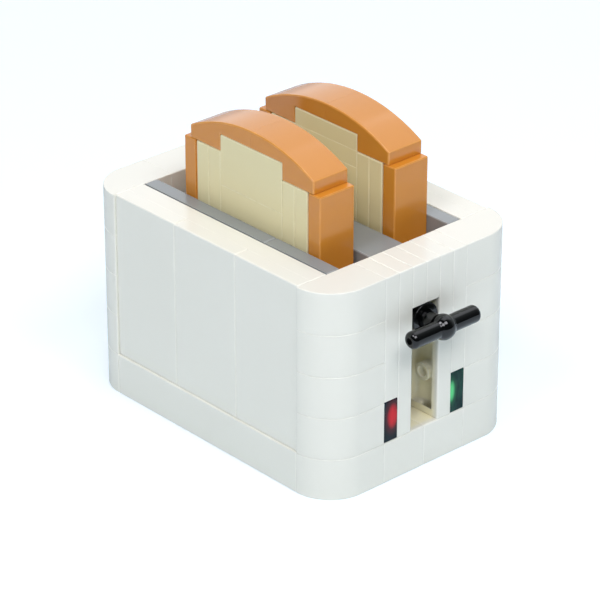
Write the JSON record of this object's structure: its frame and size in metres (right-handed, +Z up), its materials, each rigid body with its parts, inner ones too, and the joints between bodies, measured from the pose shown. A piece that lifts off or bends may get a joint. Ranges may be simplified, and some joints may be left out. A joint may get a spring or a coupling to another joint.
{
  "type": "brick toaster model",
  "caption": "Small toy toaster built from sideways plastic bricks, with rounded corners, a lever that lowers the carriage, and loose bread slices in two slots.",
  "frame": {"origin": "on the surface the toaster stands on, at the middle of the footprint of housing and lever together", "axes": "+Z up, -Y towards the lever at the front, +X to the right as seen from the lever's side"},
  "size_m": [0.0456, 0.0704, 0.0576],
  "materials": {
    "white_plastic": "glossy moulded",
    "grey_plastic": "glossy moulded",
    "black_plastic": "glossy moulded",
    "crust_plastic": "glossy moulded",
    "crumb_plastic": "glossy moulded",
    "red_window": "clear moulded",
    "green_window": "clear moulded"
  },
  "bodies": {
    "housing": {"back_brick_left": "white_plastic", "back_brick_right": "white_plastic", "base_bricks_left": "white_plastic", "base_bricks_right": "white_plastic", "base_liners": "white_plastic", "base_rails": "white_plastic", "corner_back_left": "white_plastic", "corner_back_right": "white_plastic", "corner_front_left": "white_plastic", "corner_front_right": "white_plastic", "divider_bars": "grey_plastic", "divider_plate": "grey_plastic", "divider_tile": "grey_plastic", "floor_tiles": "white_plastic", "front_inner_plates": "white_plastic", "front_outer_plates": "white_plastic", "lintel_left": "white_plastic", "lintel_right": "white_plastic", "rim_strips": "grey_plastic", "side_tiles_left": "white_plastic", "side_tiles_right": "white_plastic", "wall_liner_left": "white_plastic", "wall_liner_right": "white_plastic", "window_green": "green_window", "window_red": "red_window"},
    "carriage": {"carriage_deck": "black_plastic", "carriage_arm": "black_plastic", "lever_boss": "black_plastic", "lever_handle": "black_plastic"},
    "left_slice": {"left_crust": "crust_plastic", "left_crust_tiles": "crust_plastic", "left_crumb_plates": "crumb_plastic", "left_crumb_stack": "crumb_plastic"},
    "right_slice": {"right_crust": "crust_plastic", "right_crust_tiles": "crust_plastic", "right_crumb_plates": "crumb_plastic", "right_crumb_stack": "crumb_plastic"}
  },
  "joints": [
    {"name": "lever_slide", "type": "slide", "parent": "housing", "child": "carriage", "axis": [0, 0, 1], "range_m": [-0.0126, 0]},
    {"name": "left_slice_lift", "type": "slide", "parent": "carriage", "child": "left_slice", "axis": [0, 0, 1], "range_m": [0, 0.0192]},
    {"name": "right_slice_lift", "type": "slide", "parent": "carriage", "child": "right_slice", "axis": [0, 0, 1], "range_m": [0, 0.0192]}
  ]
}
